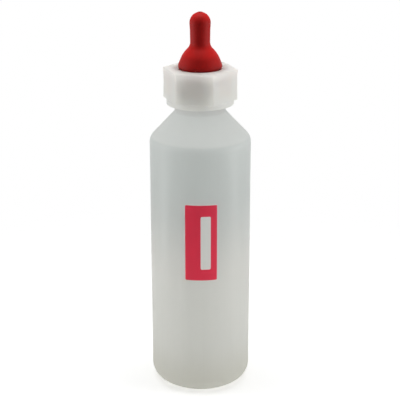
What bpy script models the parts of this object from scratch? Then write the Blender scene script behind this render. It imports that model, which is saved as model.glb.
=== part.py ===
"""Lamb feeding bottle: a blow-moulded bottle, a hexagonal screw cap, a rubber teat and a label.

The teat's flange is the only seal. It lies on the bottle's lip, and the cap reaches over it
with the teat's bell standing up through the cap's hole. Everything is in metres, with +Z up.
The origin is on the bottle's axis in the plane that it stands on, and the label faces -Y.
"""

import math

import bmesh
import bpy
from mathutils import Vector

# Bottle: body, shoulder, neck and base
BODY_RADIUS = 0.0400
SHOULDER_HEIGHT = 0.2064        # where the body's wall and the shoulder's cone would meet
SHOULDER_ANGLE = math.radians(43.05)    # of the cone, from the bottle's axis
SHOULDER_ROUND = 0.0080
NECK_RADIUS = 0.0200            # the plain wall at the root of the thread
NECK_HEIGHT = 0.0282            # from the shoulder's cone up to the lip
NECK_FILLET = 0.0020
LIP_ROUND = 0.0004
HEEL_ROUND = 0.0120
STANDING_RING = 0.0050          # width of the flat ring that the bottle stands on
PUSH_UP = 0.0035                # how far the floor is pushed up inside that ring
PUSH_UP_SLOPE = 0.0035          # how far in the floor takes to rise by that much
FLOOR_CROWN = 0.0010
FLOOR_ROUND = 0.0015
BODY_WALL = 0.0012
BASE_WALL = 0.0015
NECK_WALL = 0.0018

# Screw cap
THREAD_DEPTH = 0.0018           # room for the thread's ridges, between neck and cap
THREAD_CLEARANCE = 0.0005
FLAT_WALL = 0.0032              # at the middle of a flat, half-way up, where it is thinnest
SKIRT_WALL = 0.0041
SKIRT_HEIGHT = 0.0044
SKIRT_ROUND = 0.0006
SKIRT_ABOVE_SHOULDER = 0.0059
CAP_TOP_WALL = 0.0025
FLAT_SINK = 0.0003              # how far the flats shrink in between their foot and the top
CORNER_ROUND = 0.0010
RIM_ROUND = 0.0008
HOLE_CHAMFER = 0.0005
MOUTH_CHAMFER = 0.0008
LEDGE_OVERLAP = 0.0003          # how far the hexagon runs down into the skirt
CAP_TURN = math.radians(19.72)  # where the hexagon stops when the cap is tight

# Teat: flange, neck in the cap's hole, bell, waist, stem and tip
FLANGE_THICKNESS = 0.0026
FLANGE_WIDTH = 0.0048           # the ring of flange that the cap holds down
FLANGE_CLEARANCE = 0.0008       # between the flange's edge and the cap's bore
FLANGE_ROUND = 0.0006
TEAT_WALL = 0.0022
TEAT_HEIGHT = 0.0436            # above the cap
BELL_BULGE = 0.0007             # how much wider the bell is than its neck in the hole
BELL_FOOT_HEIGHT = 0.0022
BELL_FOOT_ROUND = 0.0040
BELL_TAPER = 0.0036             # from the bell's foot in to its shoulder
BELL_SHOULDER_HEIGHT = 0.0112
BELL_SHOULDER_ROUND = 0.0230
WAIST_RADIUS = 0.0077
WAIST_HEIGHT = 0.0177
WAIST_ROUND = 0.0071
STEM_RADIUS = 0.0079            # half-way between the waist and the tip
STEM_HEIGHT = 0.0300
STEM_ROUND = 0.0200
TIP_RADIUS = 0.0082             # of the tip's ball, which swells a little past the stem
TIP_HEIGHT = 0.0345
TIP_ROUND = 0.0060
FEED_HOLE_RADIUS = 0.0011

# Label
LABEL_HEIGHT = 0.0622
LABEL_WIDTH = 0.0252            # along the curve of the body
LABEL_BELOW_SHOULDER = 0.0440
LABEL_TURN = math.radians(0.7)
LABEL_THICKNESS = 0.00015
LABEL_CORNER = 0.0006

# Fits
TOUCH_GAP = 0.0003              # between faces that touch on the real bottle
HOLE_CLEARANCE = 0.0003
CUT_MARGIN = 0.0020             # how far a cutter runs past the face that it cuts

# Facets
TURN_STEPS = 60
TEAT_STEPS = 40
FEED_HOLE_STEPS = 10
LABEL_STEPS = 6
CORNER_STEPS = 3
FLAT_STEPS = 4                  # from the foot of a flat to its top
CHORD_ERROR = 0.00012           # how far a facet may lie inside the round that it stands for
SAME_PLACE = 1e-6
SEAM_MERGE = 1e-5
SHARP_ANGLE = math.radians(40.0)

# Colours
MILKY_WHITE = (0.60, 0.62, 0.59)
CAP_WHITE = (0.72, 0.72, 0.69)
RUBBER_RED = (0.36, 0.012, 0.010)
CRIMSON = (0.53, 0.03, 0.07)

# Places that the pieces share
NECK_BOTTOM = SHOULDER_HEIGHT + (BODY_RADIUS - NECK_RADIUS) / math.tan(SHOULDER_ANGLE)
LIP_HEIGHT = NECK_BOTTOM + NECK_HEIGHT
TEAT_BOTTOM = LIP_HEIGHT + TOUCH_GAP
CAP_BOTTOM = NECK_BOTTOM + SKIRT_ABOVE_SHOULDER
CAP_CEILING = TEAT_BOTTOM + FLANGE_THICKNESS + TOUCH_GAP
CAP_TOP = CAP_CEILING + CAP_TOP_WALL
BORE_RADIUS = NECK_RADIUS + THREAD_DEPTH + THREAD_CLEARANCE
FLANGE_RADIUS = BORE_RADIUS - FLANGE_CLEARANCE
TEAT_NECK_RADIUS = FLANGE_RADIUS - FLANGE_WIDTH
HOLE_RADIUS = TEAT_NECK_RADIUS + HOLE_CLEARANCE


def fresh_collections():
    """Empty the scene, and return a collection for the pieces and one for the cutters."""
    for old in list(bpy.data.objects):
        bpy.data.objects.remove(old, do_unlink=True)
    made = [bpy.data.collections.new(name) for name in ("lamb_feeding_bottle", "cutters")]
    for collection in made:
        bpy.context.scene.collection.children.link(collection)
    return made


def plastic(name, colour, roughness):
    """A Principled BSDF material of one colour. Nothing on this bottle is metal."""
    material = bpy.data.materials.new(name)
    material.use_nodes = True
    shader = material.node_tree.nodes["Principled BSDF"]
    shader.inputs["Base Color"].default_value = (*colour, 1.0)
    shader.inputs["Roughness"].default_value = roughness
    shader.inputs["Metallic"].default_value = 0.0
    return material


def crossing(line, other):
    """The point where two lines cross, each given as a point and a direction."""
    (point, along), (other_point, other_along) = line, other
    turn = along.cross(other_along)
    if abs(turn) < SAME_PLACE:
        return other_point.copy()
    return point + along * ((other_point - point).cross(other_along) / turn)


def inside_of(corners, walls):
    """The corners of a hollow whose walls are these, one wall for each edge of the outside.

    A corner is (radius, height, round). The outside's outline runs down, with the hollow on
    its right. An end corner slides along the axis, or level where it is away from the axis.
    """
    points = [Vector(corner[:2]) for corner in corners]
    lines = []
    for start, end, wall in zip(points, points[1:], walls):
        along = (end - start).normalized()
        lines.append((start + Vector((along.y, -along.x)) * wall, along))
    for at, end in ((0, points[0]), (len(lines) + 1, points[-1])):
        slide = Vector((0.0, 1.0)) if end.x == 0.0 else Vector((1.0, 0.0))
        lines.insert(at, (end, slide))
    hollow = []
    for i, (before, after) in enumerate(zip(lines, lines[1:])):
        rounding = corners[i][2]
        if 0 < i < len(corners) - 1:
            wall = math.copysign(walls[i], before[1].cross(after[1]))
            rounding = max(rounding + wall, 0.0)
        hollow.append((*crossing(before, after), rounding))
    return hollow


def rounded(corners):
    """The points of an outline through (radius, height, round) corners, each round an arc.

    Two rounds that would meet on a short edge share it, and each keeps its proportion.
    """
    points = [Vector(corner[:2]) for corner in corners]
    edges = [end - start for start, end in zip(points, points[1:])]
    turns = [0.0, *(a.angle_signed(b) for a, b in zip(edges, edges[1:])), 0.0]
    reaches = [corner[2] * math.tan(abs(turn) / 2.0) for corner, turn in zip(corners, turns)]
    shares = [1.0]
    for edge, near, far in zip(edges, reaches, reaches[1:]):
        shares.append(min(1.0, edge.length / max(near + far, SAME_PLACE)))
    shares.append(1.0)
    outline = []
    for i, corner in enumerate(points):
        reach = reaches[i] * min(shares[i], shares[i + 1])
        stretch = [corner]
        if reach > SAME_PLACE:
            ahead = edges[i - 1].normalized()
            stretch = arc(corner - ahead * reach, ahead, turns[i], reach)
        outline += [p for p in stretch if not outline or (p - outline[-1]).length > SAME_PLACE]
    return outline


def arc(start, ahead, turn, reach):
    """Points along an arc that leaves start in the direction ahead. Its turn is clockwise."""
    radius = reach / math.tan(abs(turn) / 2.0)
    side = Vector((-ahead.y, ahead.x)) * math.copysign(1.0, -turn)
    facet = 2.0 * math.acos(1.0 - min(CHORD_ERROR / radius, 0.5))
    steps = math.ceil(abs(turn) / facet)
    angles = [abs(turn) * step / steps for step in range(steps + 1)]
    return [start + (ahead * math.sin(a) + side * (1.0 - math.cos(a))) * radius for a in angles]


def link_mesh(name, mesh, collection, material=None):
    """An object for a mesh, in its collection."""
    piece = bpy.data.objects.new(name, mesh)
    collection.objects.link(piece)
    if material:
        mesh.materials.append(material)
    return piece


def turned(name, corners, steps, collection, material=None):
    """A solid turned about Z. Its outline starts and ends on the axis, and runs down outside."""
    points = rounded(corners)
    mesh = bpy.data.meshes.new(name)
    mesh.from_pydata([(p.x, 0.0, p.y) for p in points],
                     [(i, i + 1) for i in range(len(points) - 1)], [])
    piece = link_mesh(name, mesh, collection, material)
    screw = piece.modifiers.new("turn", "SCREW")
    screw.axis = "Z"
    screw.angle = math.tau
    screw.steps = steps
    screw.render_steps = steps
    screw.use_merge_vertices = True
    screw.merge_threshold = SEAM_MERGE
    screw.use_smooth_shade = True
    return piece


def use_tool(piece, tool, operation):
    """Join or cut a piece with a tool that is hidden, and moves with the piece."""
    tool.parent = piece
    tool.hide_render = True
    tool.display_type = "WIRE"
    boolean = piece.modifiers.new(tool.name, "BOOLEAN")
    boolean.operation = operation
    boolean.object = tool


def make_bottle(pieces, material):
    """The blow-moulded bottle: one wall from the lip down to the pushed-up floor."""
    ring_inside = BODY_RADIUS - HEEL_ROUND - STANDING_RING
    outside = [
        (NECK_RADIUS, LIP_HEIGHT, LIP_ROUND),
        (NECK_RADIUS, NECK_BOTTOM, NECK_FILLET),
        (BODY_RADIUS, SHOULDER_HEIGHT, SHOULDER_ROUND),
        (BODY_RADIUS, 0.0, HEEL_ROUND),
        (ring_inside, 0.0, FLOOR_ROUND),
        (ring_inside - PUSH_UP_SLOPE, PUSH_UP, FLOOR_ROUND),
        (0.0, PUSH_UP + FLOOR_CROWN, 0.0),
    ]
    walls = [NECK_WALL, BODY_WALL, BODY_WALL, BASE_WALL, BASE_WALL, BASE_WALL]
    inside = inside_of(outside, walls)
    return turned("bottle", inside[::-1] + outside, TURN_STEPS, pieces, material)


def make_teat(pieces, cutters, material):
    """The hollow rubber teat. Its own height 0 is the underside of its flange."""
    cap_level = CAP_TOP - TEAT_BOTTOM
    bell_radius = TEAT_NECK_RADIUS + BELL_BULGE
    tip_level = cap_level + TEAT_HEIGHT
    bell = [
        (0.0, tip_level, 0.0),
        (TIP_RADIUS, tip_level, TIP_RADIUS),
        (TIP_RADIUS, cap_level + TIP_HEIGHT, TIP_ROUND),
        (STEM_RADIUS, cap_level + STEM_HEIGHT, STEM_ROUND),
        (WAIST_RADIUS, cap_level + WAIST_HEIGHT, WAIST_ROUND),
        (bell_radius - BELL_TAPER, cap_level + BELL_SHOULDER_HEIGHT, BELL_SHOULDER_ROUND),
        (bell_radius, cap_level + BELL_FOOT_HEIGHT, BELL_FOOT_ROUND),
        (TEAT_NECK_RADIUS, cap_level, FLANGE_ROUND),
    ]
    hollow = inside_of(bell + [(TEAT_NECK_RADIUS, 0.0, 0.0)], [TEAT_WALL] * len(bell))
    flange = [
        (TEAT_NECK_RADIUS, FLANGE_THICKNESS, 0.0),
        (FLANGE_RADIUS, FLANGE_THICKNESS, FLANGE_ROUND),
        (FLANGE_RADIUS, 0.0, FLANGE_ROUND),
    ]
    teat = turned("teat", bell + flange + hollow[::-1], TEAT_STEPS, pieces, material)
    teat.location.z = TEAT_BOTTOM
    drill = turned("feed_hole_drill", [
        (0.0, tip_level + CUT_MARGIN, 0.0),
        (FEED_HOLE_RADIUS, tip_level + CUT_MARGIN, 0.0),
        (FEED_HOLE_RADIUS, tip_level - TEAT_WALL - CUT_MARGIN, 0.0),
        (0.0, tip_level - TEAT_WALL - CUT_MARGIN, 0.0),
    ], FEED_HOLE_STEPS, cutters)
    use_tool(teat, drill, "DIFFERENCE")
    return teat


def make_cap(pieces, cutters, material):
    """The hexagonal cap with its round skirt. Its own height 0 is the skirt's lower edge."""
    top = CAP_TOP - CAP_BOTTOM
    ceiling = CAP_CEILING - CAP_BOTTOM
    foot = SKIRT_HEIGHT - LEDGE_OVERLAP
    cap = link_mesh("screw_cap", hexagon_mesh(foot, top), pieces, material)
    cap.location.z = CAP_BOTTOM
    cap.rotation_euler.z = CAP_TURN
    skirt_radius = BORE_RADIUS + SKIRT_WALL
    skirt = turned("skirt", [
        (0.0, SKIRT_HEIGHT, 0.0),
        (skirt_radius, SKIRT_HEIGHT, LEDGE_OVERLAP),
        (skirt_radius, 0.0, SKIRT_ROUND),
        (0.0, 0.0, 0.0),
    ], TURN_STEPS, cutters)
    use_tool(cap, skirt, "UNION")
    bore = turned("bore", [
        (0.0, top + CUT_MARGIN, 0.0),
        (HOLE_RADIUS + HOLE_CHAMFER + CUT_MARGIN, top + CUT_MARGIN, 0.0),
        (HOLE_RADIUS, top - HOLE_CHAMFER, 0.0),
        (HOLE_RADIUS, ceiling, 0.0),
        (BORE_RADIUS, ceiling, 0.0),
        (BORE_RADIUS, MOUTH_CHAMFER, 0.0),
        (BORE_RADIUS + MOUTH_CHAMFER + CUT_MARGIN, -CUT_MARGIN, 0.0),
        (0.0, -CUT_MARGIN, 0.0),
    ], TURN_STEPS, cutters)
    use_tool(cap, bore, "DIFFERENCE")
    return cap


def upright_edges(block):
    """The edges of a block that don't lie level."""
    return [e for e in block.edges if abs(e.verts[0].co.z - e.verts[1].co.z) > SAME_PLACE]


def hexagon_mesh(bottom, top):
    """A six-sided block with a corner at -Y and round edges, waisted as shrinking leaves it."""
    flat = BORE_RADIUS + FLAT_WALL + FLAT_SINK
    corner = flat / math.cos(math.pi / 6.0)
    block = bmesh.new()
    bmesh.ops.create_cone(block, cap_ends=True, segments=6,
                          radius1=corner, radius2=corner, depth=top - bottom)
    bmesh.ops.translate(block, verts=block.verts, vec=(0.0, 0.0, (bottom + top) / 2.0))
    bmesh.ops.subdivide_edges(block, edges=upright_edges(block), cuts=FLAT_STEPS - 1,
                              use_grid_fill=True)
    for vertex in block.verts:
        from_middle = 2.0 * (vertex.co.z - bottom) / (top - bottom) - 1.0
        vertex.co.xy *= 1.0 - FLAT_SINK * (1.0 - from_middle ** 2) / flat
    bmesh.ops.bevel(block, geom=upright_edges(block), offset=CORNER_ROUND * math.tan(math.pi / 6.0),
                    segments=CORNER_STEPS, profile=0.5, affect="EDGES")
    rim = max(block.faces, key=lambda face: face.calc_center_median().z).edges
    bmesh.ops.bevel(block, geom=list(rim), offset=RIM_ROUND,
                    segments=CORNER_STEPS, profile=0.5, affect="EDGES")
    mesh = bpy.data.meshes.new("screw_cap")
    block.to_mesh(mesh)
    block.free()
    mesh.shade_smooth()
    mesh.set_sharp_from_angle(angle=SHARP_ANGLE)
    return mesh


def make_label(pieces, material):
    """The stuck-on label: a thin sheet bent to the body. Its own height 0 is its middle."""
    radius = BODY_RADIUS + TOUCH_GAP
    width = LABEL_WIDTH / radius
    sheet = bmesh.new()
    ends = [sheet.verts.new((radius, 0.0, z)) for z in (-LABEL_HEIGHT / 2.0, LABEL_HEIGHT / 2.0)]
    side = sheet.edges.new(ends)
    bmesh.ops.spin(sheet, geom=[*ends, side], cent=(0.0, 0.0, 0.0), axis=(0.0, 0.0, 1.0),
                   angle=width, steps=LABEL_STEPS)
    corners = [v for v in sheet.verts if len(v.link_edges) == 2]
    bmesh.ops.bevel(sheet, geom=corners, offset=LABEL_CORNER,
                    segments=CORNER_STEPS, profile=0.5, affect="VERTICES")
    for face in sheet.faces:
        if face.normal.dot(face.calc_center_median()) < 0.0:
            face.normal_flip()
    mesh = bpy.data.meshes.new("label")
    sheet.to_mesh(mesh)
    sheet.free()
    label = link_mesh("label", mesh, pieces, material)
    label.location.z = SHOULDER_HEIGHT - LABEL_BELOW_SHOULDER - LABEL_HEIGHT / 2.0
    label.rotation_euler.z = LABEL_TURN - math.pi / 2.0 - width / 2.0
    solidify = label.modifiers.new("thickness", "SOLIDIFY")
    solidify.thickness = LABEL_THICKNESS
    solidify.offset = 1.0
    return label


def attach(child, parent):
    """Parent a piece that is already in its place, and leave it there."""
    child.parent = parent
    child.matrix_parent_inverse = parent.matrix_basis.inverted()


def main():
    """Make the four pieces. The cap turns on the teat, and the teat lifts off the bottle."""
    pieces, cutters = fresh_collections()
    bottle = make_bottle(pieces, plastic("milky_polyethylene", MILKY_WHITE, 0.35))
    teat = make_teat(pieces, cutters, plastic("red_rubber", RUBBER_RED, 0.45))
    cap = make_cap(pieces, cutters, plastic("white_polypropylene", CAP_WHITE, 0.35))
    label = make_label(pieces, plastic("crimson_film", CRIMSON, 0.45))
    attach(label, bottle)
    attach(teat, bottle)
    attach(cap, teat)
    print(f"lip at {LIP_HEIGHT * 1000:.1f} mm, cap top at {CAP_TOP * 1000:.1f} mm, "
          f"teat tip at {(CAP_TOP + TEAT_HEIGHT) * 1000:.1f} mm")


main()
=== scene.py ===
# %% [markdown]
# # A lamb feeding bottle
# A tall bottle of milky polyethylene, a white hexagonal screw cap and a red rubber teat. The
# bottle is blown in a mould, the cap is injected and the teat is pressed, so each is one piece
# with one finish, and what makes them look real is in the rounds, the threads, the seams that
# the moulds leave and the way that light goes into the plastic.
#
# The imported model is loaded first. It says where every piece is, so nothing has to be fitted.

import math

import bmesh
import bpy
from mathutils import Matrix, Vector


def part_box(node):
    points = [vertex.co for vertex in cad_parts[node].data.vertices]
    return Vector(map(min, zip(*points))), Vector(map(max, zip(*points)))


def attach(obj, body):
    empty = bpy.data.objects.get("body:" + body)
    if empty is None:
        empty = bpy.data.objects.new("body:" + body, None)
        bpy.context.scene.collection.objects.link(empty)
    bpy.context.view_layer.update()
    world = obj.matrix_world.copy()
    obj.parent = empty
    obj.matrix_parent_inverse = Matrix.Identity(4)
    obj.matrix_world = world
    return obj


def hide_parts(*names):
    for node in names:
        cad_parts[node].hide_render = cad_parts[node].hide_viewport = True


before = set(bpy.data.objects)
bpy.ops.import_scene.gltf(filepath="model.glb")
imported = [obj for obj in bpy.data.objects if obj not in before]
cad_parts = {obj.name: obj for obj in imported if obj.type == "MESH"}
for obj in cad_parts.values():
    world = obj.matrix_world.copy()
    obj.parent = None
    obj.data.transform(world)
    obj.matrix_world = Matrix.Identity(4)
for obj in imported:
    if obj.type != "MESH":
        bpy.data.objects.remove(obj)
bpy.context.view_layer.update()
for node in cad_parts:
    low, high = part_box(node)
    sides = [round(side * 1000.0, 1) for side in high - low]
    print(f"{node}: {sides} mm, from {low.z * 1000.0:.1f} mm up")

# %% [markdown]
# ## Where it is seen from
# The photograph looks down on the bottle by about 19 degrees, from almost a metre away. A long
# lens keeps the body's sides nearly parallel. A pinhole camera fitted to the outline, to the
# corners of the cap and to the rings gives these numbers, with a tenth of a degree of roll.

# %% Camera
CAMERA_PLACE = (-0.0003, -0.9059, 0.4619)
CAMERA_TILT = math.radians(71.2)    # from looking straight down
CAMERA_ROLL = math.radians(-0.1)
CAMERA_LENS = 107.0                 # mm, on a sensor 36 mm wide

camera = bpy.data.objects.new("camera", bpy.data.cameras.new("camera"))
bpy.context.scene.collection.objects.link(camera)
camera.data.lens = CAMERA_LENS
camera.data.sensor_width = 36.0
camera.data.clip_start = 0.05
camera.matrix_world = (Matrix.Translation(CAMERA_PLACE)
                       @ Matrix.Rotation(CAMERA_TILT, 4, "X")
                       @ Matrix.Rotation(CAMERA_ROLL, 4, "Z"))
bpy.context.scene.camera = camera
print("camera", [round(value, 4) for value in camera.matrix_world.translation])

# %% [markdown]
# ## Node trees written as Python
# The shapes and the finishes below are node trees. Linking them by hand hides what they do, so
# two small classes stand for them. Nodes adds a node of any kind, sets its settings first, and
# then its sockets. Value wraps an output, and arithmetic on it adds the Math nodes.

# %% Shorthand for nodes
class Value:
    """An output of a node tree. Arithmetic on it adds Math nodes."""

    def __init__(self, nodes, socket):
        self.nodes = nodes
        self.socket = socket

    def __add__(self, other):
        return self.nodes.math("ADD", self, other)

    def __sub__(self, other):
        return self.nodes.math("SUBTRACT", self, other)

    def __rsub__(self, other):
        return self.nodes.math("SUBTRACT", other, self)

    def __mul__(self, other):
        return self.nodes.math("MULTIPLY", self, other)

    def __truediv__(self, other):
        return self.nodes.math("DIVIDE", self, other)

    def __abs__(self):
        return self.nodes.math("ABSOLUTE", self)

    __radd__ = __add__
    __rmul__ = __mul__


def pick(sockets, key):
    """A socket by its place, or by its name or identifier among those in use."""
    if isinstance(key, int):
        return sockets[key]
    return next(socket for socket in sockets
                if socket.enabled and key in (socket.name, socket.identifier))


class Nodes:
    """Adds nodes to one tree."""

    def __init__(self, tree):
        self.tree = tree

    def feed(self, socket, value):
        """Link an output to a socket, or set the socket's own value."""
        if isinstance(value, Value):
            self.tree.links.new(value.socket, socket)
        elif socket.type == "RGBA":
            socket.default_value = (*value[:3], 1.0)
        else:
            socket.default_value = value

    def add(self, kind, settings=None, sockets=None, output=0):
        """A node: its settings, then its sockets. Returns one of its outputs."""
        node = self.tree.nodes.new(kind)
        for name, setting in (settings or {}).items():
            setattr(node, name, setting)
        for key, value in (sockets or {}).items():
            self.feed(pick(node.inputs, key), value)
        return Value(self, pick(node.outputs, output)) if len(node.outputs) else node

    def math(self, operation, *values):
        """One Math node."""
        return self.add("ShaderNodeMath", {"operation": operation}, dict(enumerate(values)))

    def vector(self, operation, *values, output=0):
        """One Vector Math node."""
        return self.add("ShaderNodeVectorMath", {"operation": operation},
                        dict(enumerate(values)), output)

    def step(self, value, start, end):
        """0 before start, 1 after end, and a smooth rise between. It falls if end is lower."""
        return self.add("ShaderNodeMapRange", {"interpolation_type": "SMOOTHSTEP"},
                        {"Value": value, "From Min": start, "From Max": end})

    def split(self, vector):
        """The three coordinates of a vector."""
        first = self.add("ShaderNodeSeparateXYZ", sockets={0: vector})
        return [Value(self, socket) for socket in first.socket.node.outputs]

    def join(self, x, y, z):
        """A vector of three coordinates."""
        return self.add("ShaderNodeCombineXYZ", sockets={"X": x, "Y": y, "Z": z})


# %% [markdown]
# ## Sizes
# These are the sizes of the solid model, in metres, which every piece below is made from. Only
# the cap's corners are drawn rounder, as they look on a cap that has been used. The bottle stands
# at height 0, its axis is Z, and its label faces -Y.

# %% Sizes of the bottle
BODY_RADIUS = 0.0400
SHOULDER_HEIGHT = 0.2064
SHOULDER_ANGLE = math.radians(43.05)
SHOULDER_ROUND = 0.0080
NECK_RADIUS = 0.0200
NECK_FILLET = 0.0020
HEEL_ROUND = 0.0120
STANDING_RING = 0.0050              # its width
PUSH_UP = 0.0035                    # of the floor, inside the ring
FLOOR_CROWN = 0.0010                # how much higher the floor's middle is than its edge
FLOOR_ROUND = 0.0015
BODY_WALL = 0.0012
BASE_WALL = 0.0015
NECK_WALL = 0.0018
LIP_ROUND = 0.0004

NECK_BOTTOM = SHOULDER_HEIGHT + (BODY_RADIUS - NECK_RADIUS) / math.tan(SHOULDER_ANGLE)
LIP_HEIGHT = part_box("bottle")[1].z
print(f"neck from {NECK_BOTTOM * 1000.0:.1f} to {LIP_HEIGHT * 1000.0:.1f} mm up")

# %% Sizes of the cap and the teat
CAP_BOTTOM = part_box("screw_cap")[0].z
CAP_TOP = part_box("screw_cap")[1].z
CAP_CEILING = CAP_TOP - 0.0025
BORE_RADIUS = 0.0223
HOLE_RADIUS = 0.0170
HEXAGON_FLAT = 0.0258               # from the axis to the middle of a flat, at the top
FLAT_SINK = 0.0003                  # how far the flats shrink in half-way up
CAP_TURN = math.radians(19.72)
CORNER_ROUND = 0.0020               # 1 mm in the solid model
RIM_ROUND = 0.0008
SKIRT_RADIUS = 0.0264
SKIRT_TOP = CAP_BOTTOM + 0.0044
LEDGE_OVERLAP = 0.0003              # how far the hexagon runs down into the skirt

TEAT_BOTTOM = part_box("teat")[0].z
TEAT_TIP = CAP_TOP + 0.0436
TEAT_WALL = 0.0022
FLANGE_RADIUS = 0.0215
FLANGE_THICKNESS = 0.0026
TEAT_NECK_RADIUS = 0.0167
BELL_RADIUS = 0.0174
WAIST_RADIUS = 0.0077
STEM_RADIUS = 0.0079
TIP_RADIUS = 0.0082
FEED_HOLE_RADIUS = 0.0011
HOLE_LIP_RADIUS = 0.0019            # of the raised lip's top
HOLE_LIP_FOOT = 0.0024              # where the lip meets the tip's dome
print(f"cap {(CAP_TOP - CAP_BOTTOM) * 1000.0:.1f} mm high, "
      f"teat {(TEAT_TIP - CAP_TOP) * 1000.0:.1f} mm above it")

# %% [markdown]
# ## Turned pieces
# The bottle and the teat are round, so each is an outline turned about the axis. The outline is
# given as a designer draws it: a few corners, each with the radius of its round. A Geometry
# Nodes tree rounds the corners, cuts long lines so that smooth shading stays true, and maps a
# grid onto the turned shape: rows follow the outline, columns go round the axis.

# %% A Geometry Nodes tree with named inputs
def geometry_tree(name, inputs):
    """A new tree. Returns its nodes and its inputs by name."""
    tree = bpy.data.node_groups.new(name, "GeometryNodeTree")
    for label, kind in inputs.items():
        tree.interface.new_socket(label, in_out="INPUT", socket_type="NodeSocket" + kind)
    tree.interface.new_socket("Geometry", in_out="OUTPUT", socket_type="NodeSocketGeometry")
    nodes = Nodes(tree)
    given = tree.nodes.new("NodeGroupInput")
    return nodes, {label: Value(nodes, given.outputs[label]) for label in inputs}


def end_tree(nodes, geometry, material):
    """Make what instances there are real, give the faces their material, and hand it over."""
    real = nodes.add("GeometryNodeRealizeInstances", sockets={"Geometry": geometry})
    done = nodes.add("GeometryNodeSetMaterial", sockets={"Geometry": real, "Material": material})
    nodes.add("NodeGroupOutput", sockets={"Geometry": done})
    return nodes.tree


# %% The tree that turns an outline
def turning_tree():
    nodes, given = geometry_tree("turned_piece", {
        "Outline": "Geometry", "Arc Steps": "Int", "Longest Step": "Float",
        "Steps Around": "Int", "Material": "Material"})
    here = nodes.add("GeometryNodeInputPosition")
    index = nodes.add("GeometryNodeInputIndex")

    line = nodes.add("GeometryNodeMeshToCurve", sockets={"Mesh": given["Outline"]})
    rounds = nodes.add("GeometryNodeInputNamedAttribute", {"data_type": "FLOAT"},
                       {"Name": "round"})
    line = nodes.add("GeometryNodeFilletCurve", {"mode": "POLY"}, {
        "Curve": line, "Radius": rounds, "Limit Radius": True, "Count": given["Arc Steps"]})
    ahead = nodes.add("GeometryNodeFieldAtIndex", {"data_type": "FLOAT_VECTOR"},
                      {"Value": here, "Index": index + 1.0})
    length = nodes.vector("DISTANCE", here, ahead, output="Value")
    line = nodes.add("GeometryNodeSubdivideCurve", sockets={
        "Curve": line, "Cuts": nodes.math("FLOOR", length / given["Longest Step"])})

    points = nodes.add("GeometryNodeCurveToPoints", {"mode": "EVALUATED"}, {"Curve": line})
    rows = nodes.add("GeometryNodeAttributeDomainSize", {"component": "POINTCLOUD"},
                     {"Geometry": points})
    columns = given["Steps Around"] + 1.0
    grid = nodes.add("GeometryNodeMeshGrid",
                     sockets={"Vertices X": rows, "Vertices Y": columns})
    row = nodes.math("FLOOR", index / columns)
    angle = (index - row * columns) / given["Steps Around"] * math.tau
    spot = nodes.add("GeometryNodeSampleIndex", {"data_type": "FLOAT_VECTOR"},
                     {"Geometry": points, "Value": here, "Index": row})
    radius, _, height = nodes.split(spot)
    place = nodes.join(radius * nodes.math("COSINE", angle),
                       radius * nodes.math("SINE", angle), height)
    shell = nodes.add("GeometryNodeSetPosition", sockets={"Geometry": grid, "Position": place})
    shell = nodes.add("GeometryNodeMergeByDistance",
                      sockets={"Geometry": shell, "Distance": 5e-6})
    return end_tree(nodes, shell, given["Material"])


TURNING = turning_tree()
print(f"the turning tree has {len(TURNING.nodes)} nodes")

# %% [markdown]
# A modifier runs the tree. Its inputs are stored under the sockets' identifiers, so they are
# looked up by name here and set before the object is first evaluated. The result is then taken
# as a plain mesh, and nothing of the modifier stays on the finished piece.

# %% From a tree to a plain mesh
SHARP_ANGLE = math.radians(35.0)


def object_of(name, mesh):
    piece = bpy.data.objects.new(name, mesh)
    bpy.context.scene.collection.objects.link(piece)
    return piece


def add_tree(piece, tree, values):
    """Give a piece a Geometry Nodes modifier, with its inputs by name."""
    modifier = piece.modifiers.new(tree.name, "NODES")
    modifier.node_group = tree
    for item in tree.interface.items_tree:
        if item.name in values:
            modifier[item.identifier] = values[item.name]


def add_boolean(piece, tool, operation):
    """Join another solid to a piece, or cut the piece with it."""
    boolean = piece.modifiers.new(tool.name, "BOOLEAN")
    boolean.operation = operation
    boolean.solver = "MANIFOLD"
    boolean.object = tool


def keep_mesh(piece):
    """Keep what a piece's modifiers make of it as its plain mesh."""
    graph = bpy.context.evaluated_depsgraph_get()
    mesh = bpy.data.meshes.new_from_object(piece.evaluated_get(graph))
    mesh.name = piece.name
    piece.modifiers.clear()
    piece.data = mesh
    return mesh


def settle(piece, tools=()):
    """Make a piece's mesh plain, remove its tools, and shade it smooth but for real edges."""
    mesh = keep_mesh(piece)
    for tool in tools:
        bpy.data.objects.remove(tool)
    mesh.shade_smooth()
    mesh.set_sharp_from_angle(angle=SHARP_ANGLE)
    triangles = sum(len(face.vertices) - 2 for face in mesh.polygons)
    print(f"{piece.name}: {triangles} triangles")
    return piece


def turned(name, corners, around=160, arc_steps=10, longest=0.004):
    """A piece from an outline of (radius, height, round) corners, turned about Z.

    The outline runs down where it is outside, so that the faces point outwards.
    """
    mesh = bpy.data.meshes.new(name)
    mesh.from_pydata([(radius, 0.0, height) for radius, height, _ in corners],
                     [(i, i + 1) for i in range(len(corners) - 1)], [])
    rounds = mesh.attributes.new("round", "FLOAT", "POINT")
    rounds.data.foreach_set("value", [corner[2] for corner in corners])
    piece = object_of(name, mesh)
    add_tree(piece, TURNING, {"Arc Steps": arc_steps, "Longest Step": longest,
                              "Steps Around": around})
    return piece


# %% [markdown]
# ## The wall's other side
# The hollow follows the outside at the thickness of the wall. Each edge of the outline is moved
# in by its own wall, and the new corners are where the moved edges cross. An outside round grows
# smaller inside by the wall, and an inside round grows larger.

# %% Offset outline
def crossing(line, other):
    """Where two lines cross, each given as a point and a direction."""
    (point, along), (other_point, other_along) = line, other
    turn = along.cross(other_along)
    if abs(turn) < 1e-6:
        return other_point.copy()
    return point + along * ((other_point - point).cross(other_along) / turn)


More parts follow.
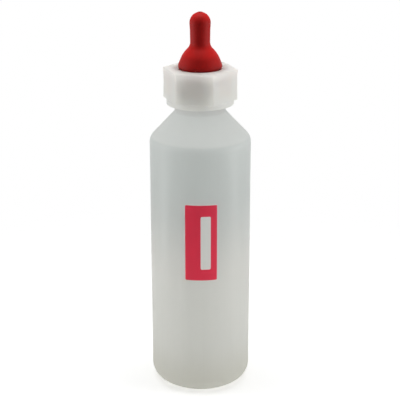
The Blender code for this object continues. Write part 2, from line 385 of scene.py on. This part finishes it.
def inside_of(corners, walls):
    """The corners of the hollow inside an outline, with one wall for each of its edges."""
    points = [Vector(corner[:2]) for corner in corners]
    lines = []
    for start, end, wall in zip(points, points[1:], walls):
        along = (end - start).normalized()
        lines.append((start + Vector((along.y, -along.x)) * wall, along))
    for at, end in ((0, points[0]), (len(lines) + 1, points[-1])):
        slide = Vector((0.0, 1.0)) if end.x == 0.0 else Vector((1.0, 0.0))
        lines.insert(at, (end, slide))
    hollow = []
    for i, (before, after) in enumerate(zip(lines, lines[1:])):
        rounding = corners[i][2]
        if 0 < i < len(corners) - 1:
            wall = math.copysign(walls[i], before[1].cross(after[1]))
            rounding = max(rounding + wall, 0.0)
        hollow.append((*crossing(before, after), rounding))
    return hollow


# %% [markdown]
# ## The blown bottle
# A tube of hot plastic is blown out against a cold mould, so the wall is thin, every corner has
# a round, and the floor is pushed up inside a flat ring to stand without rocking. The outline
# starts in the middle of the floor, inside, and ends in the middle of the floor, outside.

# %% Bottle
ring_inside = BODY_RADIUS - HEEL_ROUND - STANDING_RING
outside = [
    (NECK_RADIUS, LIP_HEIGHT, LIP_ROUND),
    (NECK_RADIUS, NECK_BOTTOM, NECK_FILLET),
    (BODY_RADIUS, SHOULDER_HEIGHT, SHOULDER_ROUND),
    (BODY_RADIUS, 0.0, HEEL_ROUND),
    (ring_inside, 0.0, FLOOR_ROUND),
    (ring_inside - PUSH_UP, PUSH_UP, FLOOR_ROUND),
    (0.0, PUSH_UP + FLOOR_CROWN, 0.0),
]
walls = [NECK_WALL, BODY_WALL, BODY_WALL, BASE_WALL, BASE_WALL, BASE_WALL]
bottle = turned("bottle_moulding", inside_of(outside, walls)[::-1] + outside)
print("walls from the lip down:", [round(wall * 1000.0, 1) for wall in walls], "mm")

# %% [markdown]
# ## Screw threads
# A coarse thread holds the cap: one ridge, five millimetres of rise to a turn, about one and a
# half turns. It runs right-handed, so the cap comes off anticlockwise. It is the kind of part
# that follows a path, so Geometry Nodes sweep it: a spiral curve, a trapezoid section, and a
# scale that shrinks the section almost to nothing at both ends, as a mould's cutter leaves it.
# The same tree makes the ridge outside the neck and the one inside the cap.

# %% The tree that makes a ridge
THINNEST = 0.03                     # share of the section that is left at the very ends


def thread_tree():
    nodes, given = geometry_tree("thread_ridge", {
        "Radius": "Float", "Pitch": "Float", "Turns": "Float", "First Level": "Float",
        "Height": "Float", "Root Width": "Float", "Crest Width": "Float", "Sunk": "Float",
        "Side": "Float", "Run Out": "Float", "Material": "Material"})
    path = nodes.add("GeometryNodeCurveSpiral", sockets={
        "Resolution": 96, "Rotations": given["Turns"], "Start Radius": given["Radius"],
        "End Radius": given["Radius"], "Height": given["Turns"] * given["Pitch"],
        "Reverse": True})
    path = nodes.add("GeometryNodeSetCurveNormal", {"mode": "Z_UP"}, {"Curve": path})
    section = nodes.add("GeometryNodeCurvePrimitiveQuadrilateral", {"mode": "TRAPEZOID"}, {
        "Height": given["Height"] + given["Sunk"], "Bottom Width": given["Root Width"],
        "Top Width": given["Crest Width"], "Offset": 0.0})
    middle = (given["Height"] - given["Sunk"]) * given["Side"] / 2.0
    section = nodes.add("GeometryNodeTransform", sockets={
        "Geometry": section, "Translation": nodes.join(middle, 0.0, 0.0),
        "Rotation": nodes.join(0.0, 0.0, given["Side"] * (-math.pi / 2.0))})
    section = nodes.add("GeometryNodeFilletCurve", {"mode": "POLY"}, {
        "Curve": section, "Radius": 0.0002, "Limit Radius": True, "Count": 3})
    along = nodes.add("GeometryNodeSplineParameter", output="Length")
    whole = nodes.add("GeometryNodeSplineLength", output="Length")
    nearer = nodes.math("MINIMUM", along, whole - along)
    size = THINNEST + (1.0 - THINNEST) * nodes.step(nearer, 0.0, given["Run Out"])
    ridge = nodes.add("GeometryNodeCurveToMesh", sockets={
        "Curve": path, "Profile Curve": section, "Scale": size, "Fill Caps": True})
    ridge = nodes.add("GeometryNodeTransform", sockets={
        "Geometry": ridge, "Translation": nodes.join(0.0, 0.0, given["First Level"])})
    return end_tree(nodes, ridge, given["Material"])


THREAD = thread_tree()
print(f"the thread's tree has {len(THREAD.nodes)} nodes")

# %% The neck's ridge
THREAD_PITCH = 0.0050
THREAD_DEPTH = 0.0018
THREAD_TURNS = 1.5
NECK_THREAD_LEVEL = LIP_HEIGHT - 0.0110
CAP_THREAD_DROP = 0.00201           # half a pitch, less what the two flanks leave between them


def ridge(name, values):
    piece = object_of(name, bpy.data.meshes.new(name))
    add_tree(piece, THREAD, {"Pitch": THREAD_PITCH, "Turns": THREAD_TURNS, "Height": THREAD_DEPTH,
                             "Run Out": 0.0120, "Sunk": 0.0004, **values})
    return piece


neck_ridge = ridge("neck_ridge", {
    "Radius": NECK_RADIUS, "First Level": NECK_THREAD_LEVEL, "Root Width": 0.0029,
    "Crest Width": 0.0014, "Side": 1.0})
add_boolean(bottle, neck_ridge, "UNION")
settle(bottle, [neck_ridge])

# %% [markdown]
# ## The screw cap
# The cap is a six-sided block for the hand with a round skirt under it. The thick plastic has
# shrunk as it cooled, so the flats are waisted by a third of a millimetre between the stiff top
# and the skirt. The corners and the top rim are softened. It is made as a machinist would: block
# and skirt joined, then bored from below, with a smaller hole above for the teat. Weighted
# normals, added once the sharp edges are marked, keep the flats flat beside their rounds.

# %% The hexagonal block
def upright_edges(block):
    return [edge for edge in block.edges
            if abs(edge.verts[0].co.z - edge.verts[1].co.z) > 1e-6]


def hexagon(name, bottom, top):
    """A six-sided block with round edges, one corner at -Y, waisted half-way up."""
    corner = HEXAGON_FLAT / math.cos(math.pi / 6.0)
    block = bmesh.new()
    bmesh.ops.create_cone(block, cap_ends=True, segments=6,
                          radius1=corner, radius2=corner, depth=top - bottom)
    bmesh.ops.translate(block, verts=block.verts, vec=(0.0, 0.0, (bottom + top) / 2.0))
    bmesh.ops.subdivide_edges(block, edges=upright_edges(block), cuts=11, use_grid_fill=True)
    for vertex in block.verts:
        from_middle = 2.0 * (vertex.co.z - bottom) / (top - bottom) - 1.0
        vertex.co.xy *= 1.0 - FLAT_SINK * (1.0 - from_middle ** 2) / HEXAGON_FLAT
    bmesh.ops.bevel(block, geom=upright_edges(block), segments=6, profile=0.5, affect="EDGES",
                    offset=CORNER_ROUND * math.tan(math.pi / 6.0))
    for end, size in ((max, RIM_ROUND), (min, LEDGE_OVERLAP)):
        rim = end(block.faces, key=lambda face: face.calc_center_median().z).edges
        bmesh.ops.bevel(block, geom=list(rim), offset=size, segments=5, profile=0.5,
                        affect="EDGES")
    bmesh.ops.rotate(block, verts=block.verts, matrix=Matrix.Rotation(CAP_TURN, 3, "Z"))
    mesh = bpy.data.meshes.new(name)
    block.to_mesh(mesh)
    block.free()
    return object_of(name, mesh)


cap = hexagon("cap_moulding", SKIRT_TOP - LEDGE_OVERLAP, CAP_TOP)
print(f"hexagon {HEXAGON_FLAT * 2000.0:.1f} mm across its flats, {len(cap.data.polygons)} faces")

# %% Skirt, bore and thread
CUT_MARGIN = 0.0020                 # how far the cutter runs past the faces that it cuts
HOLE_CHAMFER = 0.0005
BORE_CHAMFER = 0.0008

skirt = turned("skirt", [
    (0.0, SKIRT_TOP, 0.0),
    (SKIRT_RADIUS, SKIRT_TOP, 0.0003),
    (SKIRT_RADIUS, CAP_BOTTOM, 0.0006),
    (0.0, CAP_BOTTOM, 0.0),
], arc_steps=6)
bore = turned("bore", [
    (0.0, CAP_TOP + CUT_MARGIN, 0.0),
    (HOLE_RADIUS + HOLE_CHAMFER + CUT_MARGIN, CAP_TOP + CUT_MARGIN, 0.0),
    (HOLE_RADIUS, CAP_TOP - HOLE_CHAMFER, 0.0004),
    (HOLE_RADIUS, CAP_CEILING, 0.0),
    (BORE_RADIUS, CAP_CEILING, 0.0002),
    (BORE_RADIUS, CAP_BOTTOM + BORE_CHAMFER, 0.0004),
    (BORE_RADIUS + BORE_CHAMFER + CUT_MARGIN, CAP_BOTTOM - CUT_MARGIN, 0.0),
    (0.0, CAP_BOTTOM - CUT_MARGIN, 0.0),
], arc_steps=6)
cap_ridge = ridge("cap_ridge", {
    "Radius": BORE_RADIUS, "First Level": NECK_THREAD_LEVEL - CAP_THREAD_DROP,
    "Root Width": 0.0026, "Crest Width": 0.0011, "Side": -1.0})
add_boolean(cap, skirt, "UNION")
add_boolean(cap, bore, "DIFFERENCE")
add_boolean(cap, cap_ridge, "UNION")
settle(cap, [skirt, bore, cap_ridge])
weighted = cap.modifiers.new("even_shading", "WEIGHTED_NORMAL")
weighted.keep_sharp = True
keep_mesh(cap)

# %% [markdown]
# ## The rubber teat
# One hollow piece of rubber: a flange that the cap clamps onto the lip, a short neck in the
# cap's hole, a bell for the lamb's lips, a waist and a round tip. The feed hole at the top has a
# small raised lip. Its outline is closed, down the outside and up the inside, and it starts
# half-way through the hole.

# %% Teat
def dome(radius, top, cut, edge=0.0):
    """Two corners that round a tube's end to a dome, from where a hole cuts the dome."""
    lean = math.asin(cut / radius)
    rim = top - radius * (1.0 - math.cos(lean))
    return [(cut, rim, edge), (radius, rim - (radius - cut) * math.tan(lean), radius)]


below_tip = [
    (TIP_RADIUS, CAP_TOP + 0.0345, 0.0060),             # under the tip
    (STEM_RADIUS, CAP_TOP + 0.0300, 0.0200),            # top of the stem
    (WAIST_RADIUS, CAP_TOP + 0.0177, 0.0071),           # waist
    (BELL_RADIUS - 0.0036, CAP_TOP + 0.0112, 0.0230),   # shoulder of the bell
    (BELL_RADIUS, CAP_TOP + 0.0022, 0.0040),            # foot of the bell
    (TEAT_NECK_RADIUS, CAP_TOP, 0.0006),                # where it goes into the cap's hole
]
hollow = inside_of([(0.0, TEAT_TIP, 0.0), (TIP_RADIUS, TEAT_TIP, TIP_RADIUS), *below_tip,
                    (TEAT_NECK_RADIUS, TEAT_BOTTOM, 0.0)], [TEAT_WALL] * 8)
hole_wall = (FEED_HOLE_RADIUS, TEAT_TIP - TEAT_WALL / 2.0, 0.0)
outline = [
    hole_wall,
    (FEED_HOLE_RADIUS, TEAT_TIP, 0.0002),
    (HOLE_LIP_RADIUS, TEAT_TIP, 0.0003),
    *dome(TIP_RADIUS, TEAT_TIP, HOLE_LIP_FOOT, 0.0003),
    *below_tip,
    (TEAT_NECK_RADIUS, TEAT_BOTTOM + FLANGE_THICKNESS, 0.0002),
    (FLANGE_RADIUS, TEAT_BOTTOM + FLANGE_THICKNESS, 0.0006),
    (FLANGE_RADIUS, TEAT_BOTTOM, 0.0006),
    *hollow[:1:-1],
    *dome(TIP_RADIUS - TEAT_WALL, TEAT_TIP - TEAT_WALL, FEED_HOLE_RADIUS, 0.0002)[::-1],
    hole_wall,
]
teat = settle(turned("teat_moulding", outline, around=128, arc_steps=14, longest=0.002))

# %% [markdown]
# ## The label
# A thin film stuck to the front of the body. A flat grid is bent round the body by its own
# width, its rows are drawn in at both ends to round the corners, and Solidify gives it the
# thickness of a film.

# %% Label
LABEL_HEIGHT = 0.0622
LABEL_WIDTH = 0.0252
LABEL_DROP = 0.0440                 # from the shoulder's corner to the label's top edge
LABEL_LEVEL = SHOULDER_HEIGHT - LABEL_DROP - LABEL_HEIGHT / 2.0     # of its middle
LABEL_TURN = math.radians(0.7)      # from facing -Y
LABEL_CORNER = 0.0006
LABEL_GAP = 0.00003
LABEL_FILM = 0.00014

film = bmesh.new()
bmesh.ops.create_grid(film, x_segments=24, y_segments=120, size=0.5)
for vertex in film.verts:
    across, up = vertex.co.x * LABEL_WIDTH, vertex.co.y * LABEL_HEIGHT
    past = max(0.0, abs(up) - LABEL_HEIGHT / 2.0 + LABEL_CORNER)
    drawn_in = LABEL_CORNER - math.sqrt(max(0.0, LABEL_CORNER ** 2 - past ** 2))
    across *= 1.0 - 2.0 * drawn_in / LABEL_WIDTH
    radius = BODY_RADIUS + LABEL_GAP
    angle = LABEL_TURN - math.pi / 2.0 + across / radius
    vertex.co = (radius * math.cos(angle), radius * math.sin(angle), LABEL_LEVEL + up)
mesh = bpy.data.meshes.new("label_film")
film.to_mesh(mesh)
film.free()
label = object_of("label_film", mesh)
solid = label.modifiers.new("thickness", "SOLIDIFY")
solid.thickness = LABEL_FILM
solid.offset = 1.0
settle(label)

# %% [markdown]
# ## Finishes
# Each finish starts from a Principled BSDF. What is the same all over is set on its sockets.
# What changes over the surface, colour, roughness and relief, comes from the place on the piece,
# in Object coordinates, so it stays put when the piece moves. Relief is given in metres. The
# plastics also let light through: a Translucent BSDF does that, and Mix Shader sets how much.
# So a finish is a set of nodes that also knows its material, and it is a class built on Nodes.

# %% A finish to start from
class Finish(Nodes):
    """A material that starts from a Principled BSDF."""

    def __init__(self, name, **constants):
        self.material = bpy.data.materials.new(name)
        self.material.use_nodes = True
        super().__init__(self.material.node_tree)
        self.principled = self.tree.nodes["Principled BSDF"]
        self.set(**constants)
        self.place = self.add("ShaderNodeTexCoord", output="Object")

    def set(self, **inputs):
        """Set or link the Principled BSDF's sockets. A _ stands for a space in a name."""
        for name, value in inputs.items():
            self.feed(self.principled.inputs[name.replace("_", " ")], value)

    def noise(self, scale, detail=2.0, roughness=0.5, place=None):
        """Smooth noise from 0 to 1, with so many lumps to a metre."""
        return self.add("ShaderNodeTexNoise", sockets={
            "Vector": self.place if place is None else place, "Scale": scale,
            "Detail": detail, "Roughness": roughness}, output="Fac")

    def mix(self, factor, first, second):
        """A colour between two colours."""
        return self.add("ShaderNodeMix", {"data_type": "RGBA"}, {
            "Factor_Float": factor, "A_Color": first, "B_Color": second}, "Result_Color")

    def relief(self, height):
        """Bump the surface by a height in metres."""
        self.set(Normal=self.add("ShaderNodeBump", sockets={
            "Strength": 1.0, "Distance": 1.0, "Height": height}))

    def put_on(self, piece):
        """Give a piece this material and no other."""
        piece.data.materials.clear()
        piece.data.materials.append(self.material)
        print(f"{self.material.name}: {len(self.tree.nodes)} nodes, on {piece.name}")


# %% Light that comes through
def translucent(nodes, colour):
    """Light from the other side, in this colour."""
    return nodes.add("ShaderNodeBsdfTranslucent", sockets={"Color": colour})


def blend(nodes, factor, first, second):
    """A shader between two shaders."""
    return nodes.add("ShaderNodeMixShader", sockets={0: factor, 1: first, 2: second})


def show(nodes, shader):
    """Make a shader the one that the material shows."""
    nodes.feed(nodes.tree.nodes["Material Output"].inputs["Surface"], shader)


def let_through(finish, share, through):
    """Show a finish with a share of it, from 0 to 1, given to the light that comes through."""
    front = Value(finish, finish.principled.outputs["BSDF"])
    show(finish, blend(finish, share, front, through))


# %% [markdown]
# ### Milky polyethylene
# Unpigmented polyethylene is cloudy all through. A wall of one millimetre lets most of the
# light from behind it through, and scatters it, so the bottle looks evenly lit from all sides.
# The tone isn't the same all the way up: the shoulder is painted whiter, as painted light that
# hides the cap's shade on it, the upper body is painted darker and colder, as painted shade, and
# the heel is darker and yellower.
# Each has a Translucent BSDF of its own colour, and Mix Shader goes from one to the next by
# height. The blown wall also has faint upright streaks from the die, and a parting line on both
# sides, which runs on over the floor as the pinched seam.

# %% Marks on the bottle's wall
SEAM_SIDES = (0.00012, 0.00035)     # from the parting line's middle, to its edge

milky = Finish("milky_polyethylene", IOR=1.5)
x, y, z = milky.split(milky.place)
cloud = milky.noise(30.0)
streaks = milky.noise(1.0, detail=3.0, place=milky.join(x * 600.0, y * 600.0, z * 12.0))
grain = milky.noise(2400.0)
orange_peel = milky.noise(240.0)
parting = 1.0 - milky.step(abs(y), *SEAM_SIDES)
milky.relief(parting * 0.00010 + streaks * 0.000012 + orange_peel * 0.000030 + grain * 0.000003)
milky.set(Roughness=0.24 + 0.05 * streaks + 0.03 * grain)

# %% Colours of the bottle
SHOULDER_EDGE = (0.2070, 0.2094)    # heights between which one tone turns into the next
UPPER_SHADE_RISE = (0.095, 0.165)
HEEL_TONE = (0.002, 0.045)

# Painted light: the shoulder is painted whiter and lets more light through, so the cap's shade
# doesn't show on it.
shoulder = milky.step(z, *SHOULDER_EDGE)
# Painted shade: the upper body is painted darker and a little colder.
painted_upper_shade = milky.step(z, *UPPER_SHADE_RISE) * (1.0 - shoulder)
# Darker and yellower towards the heel.
heel_tone = 1.0 - milky.step(z, *HEEL_TONE)
colour = milky.mix(cloud, (0.832, 0.832, 0.824), (0.872, 0.872, 0.864))
colour = milky.mix(painted_upper_shade, colour, (0.825, 0.838, 0.834))
colour = milky.mix(streaks * 0.25, colour, (0.785, 0.790, 0.780))
colour = milky.mix(shoulder * 0.8, colour, (0.90, 0.90, 0.89))
colour = milky.mix(heel_tone * 0.35, colour, (0.70, 0.70, 0.64))
milky.set(Base_Color=colour)

# %% Light through the bottle
BOTTLE_LETS_THROUGH = 0.80
# Painted light: the shoulder lets more light through than the rest.
SHOULDER_LETS_MORE = 0.12

middle = translucent(milky, (0.836, 0.838, 0.822))
# Painted shade: the upper body's darker through-colour.
upper = translucent(milky, (0.772, 0.788, 0.780))
heel = translucent(milky, (0.814, 0.811, 0.780))
# Painted light: the shoulder's brighter through-colour.
slope = translucent(milky, (0.845, 0.851, 0.846))
through = blend(milky, painted_upper_shade, middle, upper)
through = blend(milky, heel_tone, through, heel)
through = blend(milky, shoulder, through, slope)
let_through(milky, BOTTLE_LETS_THROUGH + SHOULDER_LETS_MORE * shoulder, through)
milky.put_on(bottle)

# %% [markdown]
# ### White polypropylene
# The cap is stiffer and denser than the bottle, still a little translucent. Subsurface
# scattering softens its edges, and more light comes through where the plastic is thin or lit
# from two sides: near the top rim, along the corners and towards the skirt. Its mould is spark
# eroded, so it has a fine even grain, and hands have scuffed the hexagon's corners. A pink glow
# round the hole is painted light from the red rubber, and the middle of the flats is painted
# darker and warmer, as painted shade.

# %% Marks on the cap
SCUFFED_CORNERS = (0.0268, 0.0288)  # from the axis
SCUFF_EDGE = (0.45, 0.62)           # of the noise that breaks the scuffs up

white = Finish("white_polypropylene", Subsurface_Weight=1.0, Subsurface_Scale=0.005,
               Subsurface_Radius=(1.0, 0.95, 0.85), IOR=1.49)
x, y, z = white.split(white.place)
from_axis = white.vector("LENGTH", white.join(x, y, 0.0), output="Value")
below_top = CAP_TOP - z
cloud = white.noise(60.0)
grain = white.noise(3000.0)
scuffs = white.noise(1.0, detail=4.0, roughness=0.65,
                     place=white.join(x * 900.0, y * 900.0, z * 200.0))
handled = white.step(from_axis, *SCUFFED_CORNERS) * white.step(scuffs, *SCUFF_EDGE)
white.relief(grain * 0.000006 + cloud * 0.000040 - handled * 0.000010)
white.set(Roughness=0.36 + 0.08 * grain + 0.12 * handled)

# %% Colours of the cap
RED_GLOW_RING = (0.0215, 0.0172)       # from the axis
RED_GLOW_DEPTH = (0.0020, 0.0006)      # below the top
FLAT_SIDES = (0.0272, 0.0259)       # from the axis
FLAT_TOP = (0.0010, 0.0070)         # below the top
FLAT_FOOT = 0.0080                  # how high above the skirt the warm tone has come in

colour = white.mix(cloud, (0.878, 0.878, 0.854), (0.908, 0.908, 0.884))
colour = white.mix(handled * 0.25, colour, (0.74, 0.74, 0.71))
# Painted light: a pink glow round the hole stands for the red rubber's light on the cap.
painted_red_glow = white.step(from_axis, *RED_GLOW_RING) * white.step(below_top, *RED_GLOW_DEPTH)
colour = white.mix(painted_red_glow * 0.7, colour, (0.97, 0.70, 0.67))
# Painted shade: the middle of the flats, half-way up, is painted darker and warmer.
half_way_up = (white.step(z, SKIRT_TOP, SKIRT_TOP + FLAT_FOOT)
               * white.step(below_top, *FLAT_TOP))
flats = white.step(from_axis, *FLAT_SIDES) * half_way_up
white.set(Base_Color=white.mix(flats * 0.5, colour, (0.90, 0.835, 0.790)))

# %% Glow of the cap
CAP_LETS_THROUGH = 0.40
RIM_GLOW = 0.19
RIM_DEPTH = (0.0080, 0.0005)        # below the top
FOOT_GLOW = 0.18
FOOT_RISE = 0.0180                  # above the skirt's lower edge
CORNER_GLOW = 0.24
CORNERS = (0.0266, 0.0297)          # from the axis

rim = white.step(below_top, *RIM_DEPTH)
foot = 1.0 - white.step(z, CAP_BOTTOM, CAP_BOTTOM + FOOT_RISE)
corners = white.step(from_axis, *CORNERS)
share = CAP_LETS_THROUGH + RIM_GLOW * rim + FOOT_GLOW * foot + CORNER_GLOW * corners
let_through(white, share, translucent(white, (0.938, 0.939, 0.921)))
white.put_on(cap)

# %% [markdown]
# ### Red rubber
# The rubber is dense and deep red, with little shine. A faint bloom dulls it unevenly, and the
# turned mould has left fine rings round the bell. The upward faces, at the tip and at the bell's
# shoulder, are painted a clearer red, as painted light from above. Towards the cap it is painted
# darker, as painted shade, and the crevice where the bell meets the cap has the darkest painted
# shade.

# %% Marks on the rubber
RING_SPACING = 0.0011
RINGS_END = (0.016, 0.009)          # above the cap
PARTING_TURN = (0.94, 0.34)         # normal of the plane that the teat's mould parts in
PARTING_SIDES = (0.00006, 0.00022)  # from the parting line's middle, to its edge

rubber = Finish("red_rubber", IOR=1.5, Specular_IOR_Level=0.12)
x, y, z = rubber.split(rubber.place)
bloom = rubber.noise(90.0, detail=4.0, roughness=0.6)
grain = rubber.noise(2600.0)
wobble = rubber.noise(40.0)
rings = rubber.math("SINE", (z + wobble * 0.0010) * (math.tau / RING_SPACING))
above_cap = z - CAP_TOP
on_bell = rubber.step(above_cap, *RINGS_END)
parting = 1.0 - rubber.step(abs(x * PARTING_TURN[0] + y * PARTING_TURN[1]), *PARTING_SIDES)
rubber.relief(rings * on_bell * 0.000010 + parting * 0.000060 + grain * 0.000005
              + bloom * 0.000020)
rubber.set(Roughness=0.46 + 0.12 * bloom + 0.05 * grain)

# %% Colours of the rubber
TOP_LIT_TIP = (0.0360, 0.0420)       # heights above the cap
TOP_LIT_SHOULDER = (0.0080, 0.0125)
TOP_LIT_WAIST = (0.0205, 0.0150)
LOW_SHADE = (0.0110, 0.0010)
CREVICE = (0.0018, 0.0003)

colour = rubber.mix(bloom, (0.44, 0.008, 0.007), (0.50, 0.013, 0.011))
# Painted light: the tip and the bell's shoulder, which face up, are painted a clearer red.
bell_shoulder = (rubber.step(above_cap, *TOP_LIT_SHOULDER)
                 * rubber.step(above_cap, *TOP_LIT_WAIST))
painted_top_light = rubber.step(above_cap, *TOP_LIT_TIP) + bell_shoulder
colour = rubber.mix(painted_top_light * 0.8, colour, (0.66, 0.014, 0.012))
# Painted shade: darker towards the cap.
painted_low_shade = rubber.step(above_cap, *LOW_SHADE)
colour = rubber.mix(painted_low_shade * 0.50, colour, (0.27, 0.005, 0.004))
# Painted shade: darkest in the crevice where the bell meets the cap.
crevice = rubber.step(above_cap, *CREVICE)
rubber.set(Base_Color=rubber.mix(crevice * 0.6, colour, (0.10, 0.004, 0.003)))
rubber.put_on(teat)

# %% [markdown]
# ### Label film
# A printed film: flat crimson ink that is very slightly mottled, and one plain white field with
# round corners, where a farm writes which lamb the bottle is for. The field is a rounded box in
# the label's own two directions, so it needs no picture. The film is thin, so the light in the
# bottle shows through it, in the ink's colour or in the field's.

# %% The field to write on
FIELD_MIDDLE = 0.0036               # beside the label's own middle
FIELD_WIDTH = 0.0080
FIELD_HEIGHT = 0.0440
FIELD_CORNER = 0.0012
PRINT_BLUR = 0.00005

crimson = Finish("crimson_film", IOR=1.5, Specular_IOR_Level=0.3)
x, y, z = crimson.split(crimson.place)
around = (crimson.math("ARCTAN2", x, 0.0 - y) - LABEL_TURN) * BODY_RADIUS
beside = abs(around - FIELD_MIDDLE) - (FIELD_WIDTH / 2.0 - FIELD_CORNER)
above = abs(z - LABEL_LEVEL) - (FIELD_HEIGHT / 2.0 - FIELD_CORNER)
past = crimson.join(crimson.math("MAXIMUM", beside, 0.0), crimson.math("MAXIMUM", above, 0.0), 0.0)
past = crimson.vector("LENGTH", past, output="Value")
field = 1.0 - crimson.step(past, FIELD_CORNER - PRINT_BLUR, FIELD_CORNER + PRINT_BLUR)

# %% Colours of the label
FILM_LETS_THROUGH = 0.70
FIELD_WHITE = (0.97, 0.97, 0.96)

mottle = crimson.noise(1200.0, detail=3.0)
ink = crimson.mix(mottle, (0.93, 0.180, 0.280), (0.97, 0.195, 0.300))
crimson.set(Base_Color=crimson.mix(field, ink, FIELD_WHITE),
            Roughness=0.34 + 0.08 * mottle + 0.20 * field)
crimson.relief(crimson.noise(300.0) * 0.000012 + mottle * 0.000002)
behind_ink = translucent(crimson, (0.98, 0.205, 0.330))
behind_field = translucent(crimson, FIELD_WHITE)
through = blend(crimson, field, behind_ink, behind_field)
let_through(crimson, FILM_LETS_THROUGH, through)
crimson.put_on(label)

# %% [markdown]
# ## Joining the frame
# Each piece stands for its solid and rides on that solid's body, so the checks' motion moves it.

# %% Pieces on their bodies
for piece, node, body, slot in (
        (bottle, "bottle", "bottle_body", "milky_polyethylene"),
        (label, "label", "bottle_body", "crimson_film"),
        (teat, "teat", "teat_body", "red_rubber"),
        (cap, "screw_cap", "cap_body", "white_polypropylene")):
    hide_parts(node)
    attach(piece, body)
    print(f"{piece.name} stands for {node} and rides on {body}")

# %% [markdown]
# ## Studio
# A white table that fades into a white room, two tall soft boxes beside the bottle and a wide
# one above, all a metre or more away. The tall boxes stand level with the bottle, so its sides
# are light and its front is a little darker, as in the photograph. The room itself gives a faint
# light from everywhere. Light Path makes the table and the room whiter where they are seen,
# straight or in a reflection, so a white background needs no more light on the bottle.

# %% Floor
FLOOR_RADIUS = 2.0
FLOOR_FADE = (0.10, 0.45)           # from the bottle's axis
FLOOR_GLOW = 0.42


def seen_ray(nodes):
    """1 for what the camera sees, straight, mirrored or through a clear thing."""
    path = nodes.tree.nodes.new("ShaderNodeLightPath")
    camera, glossy, clear = (Value(nodes, path.outputs[name]) for name in (
        "Is Camera Ray", "Is Glossy Ray", "Is Transmission Ray"))
    return nodes.math("MAXIMUM", camera, nodes.math("MAXIMUM", glossy, clear))


disc = bmesh.new()
bmesh.ops.create_circle(disc, cap_ends=True, segments=96, radius=FLOOR_RADIUS)
mesh = bpy.data.meshes.new("floor")
disc.to_mesh(mesh)
disc.free()
floor = object_of("floor", mesh)
table = Finish("white_table", Base_Color=(0.93, 0.93, 0.93), Roughness=0.9)
glow = table.add("ShaderNodeEmission", sockets={"Strength": FLOOR_GLOW * seen_ray(table)})
lit = table.add("ShaderNodeAddShader", sockets={
    0: Value(table, table.principled.outputs["BSDF"]), 1: glow})
away = table.step(table.vector("LENGTH", table.place, output="Value"), *FLOOR_FADE)
show(table, blend(table, away, lit, table.add("ShaderNodeBsdfTransparent")))
table.put_on(floor)

# %% Room
ROOM_LIGHT = 0.12

world = bpy.data.worlds.new("white_room")
bpy.context.scene.world = world
world.use_nodes = True
room = Nodes(world.node_tree)
background = world.node_tree.nodes["Background"]
room.feed(background.inputs["Color"], (1.0, 1.0, 1.0))
room.feed(background.inputs["Strength"], ROOM_LIGHT + (1.0 - ROOM_LIGHT) * seen_ray(room))
print(f"the room's light is {ROOM_LIGHT}, and it is seen white")


# %% Soft boxes
def soft_box(name, place, aim, width, height, power):
    """A rectangular area light that faces a point."""
    light = bpy.data.lights.new(name, "AREA")
    light.shape = "RECTANGLE"
    light.size = width
    light.size_y = height
    light.energy = power
    lamp = bpy.data.objects.new(name, light)
    bpy.context.scene.collection.objects.link(lamp)
    lamp.location = place
    lamp.rotation_euler = (Vector(aim) - Vector(place)).to_track_quat("-Z", "Y").to_euler()
    print(f"{name}: {power} W")


soft_box("left_box", (-1.00, 0.00, 0.15), (0.0, 0.0, 0.12), 0.4, 0.8, 5.3)
soft_box("right_box", (0.98, -0.14, 0.15), (0.0, 0.0, 0.12), 0.4, 0.8, 5.75)
soft_box("top_box", (0.0, 0.08, 1.30), (0.0, 0.0, 0.15), 1.0, 0.6, 8.3)

bpy.context.scene.view_settings.view_transform = "Standard"
